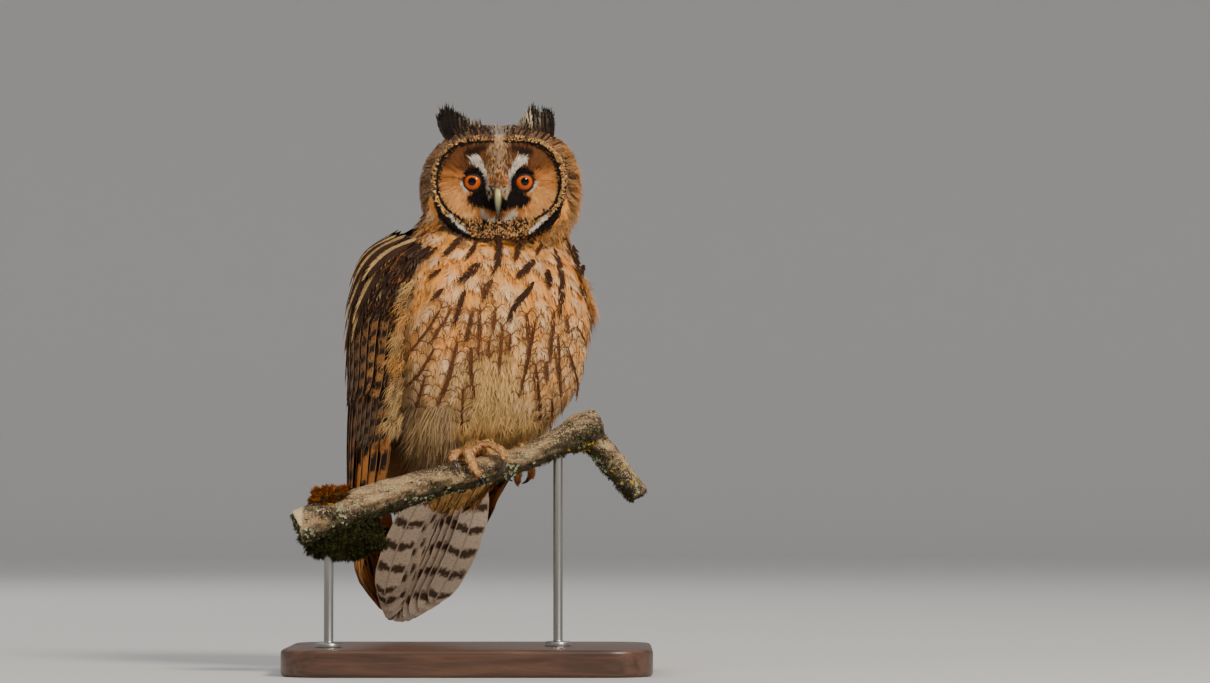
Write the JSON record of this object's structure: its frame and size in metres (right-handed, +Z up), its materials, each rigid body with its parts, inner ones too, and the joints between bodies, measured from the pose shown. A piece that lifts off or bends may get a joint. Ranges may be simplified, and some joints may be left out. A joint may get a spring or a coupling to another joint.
{
  "type": "owl model",
  "caption": "Life-size still model of a long-eared owl on a mossy branch perch, held above a plain display base.",
  "frame": {"origin": "centre of the display base's underside, on the floor", "axes": "+Z up, -Y the way the owl's face looks, +X towards the owl's left side"},
  "size_m": [0.244, 0.2027, 0.3808],
  "materials": {
    "breast_plumage": "soft feathers, buff with dark streaks",
    "wing_plumage": "barred flight feathers and coverts",
    "face_plumage": "soft feathers, rufous disc with a dark rim",
    "foot_plumage": "short dense feathers",
    "eye_surface": "glossy, opaque",
    "claw_horn": "smooth horn",
    "bill_horn": "smooth horn",
    "branch_bark": "rough bark",
    "branch_moss": "soft and matt",
    "stand_wood": "satin",
    "stand_metal": "satin"
  },
  "bodies": {
    "root": {"head": "face_plumage", "neck": "breast_plumage", "torso": "breast_plumage", "tail": "wing_plumage", "wing_right": "wing_plumage", "wing_left": "wing_plumage", "ear_tuft_right": "wing_plumage", "ear_tuft_left": "wing_plumage", "eye_left": "eye_surface", "eye_right": "eye_surface", "bill_upper": "bill_horn", "bill_lower": "bill_horn", "leg_right": "foot_plumage", "leg_left": "foot_plumage", "foot_right": "foot_plumage", "foot_left": "foot_plumage", "perch": "branch_bark", "moss_above": "branch_moss", "moss_below": "branch_moss", "stand_base": "stand_wood", "stand_rod_left": "stand_metal", "stand_rod_right": "stand_metal", "claw_right_inner": "claw_horn", "claw_right_middle": "claw_horn", "claw_right_outer": "claw_horn", "claw_right_hind": "claw_horn", "claw_left_inner": "claw_horn", "claw_left_middle": "claw_horn", "claw_left_outer": "claw_horn", "claw_left_hind": "claw_horn"}
  },
  "joints": []
}
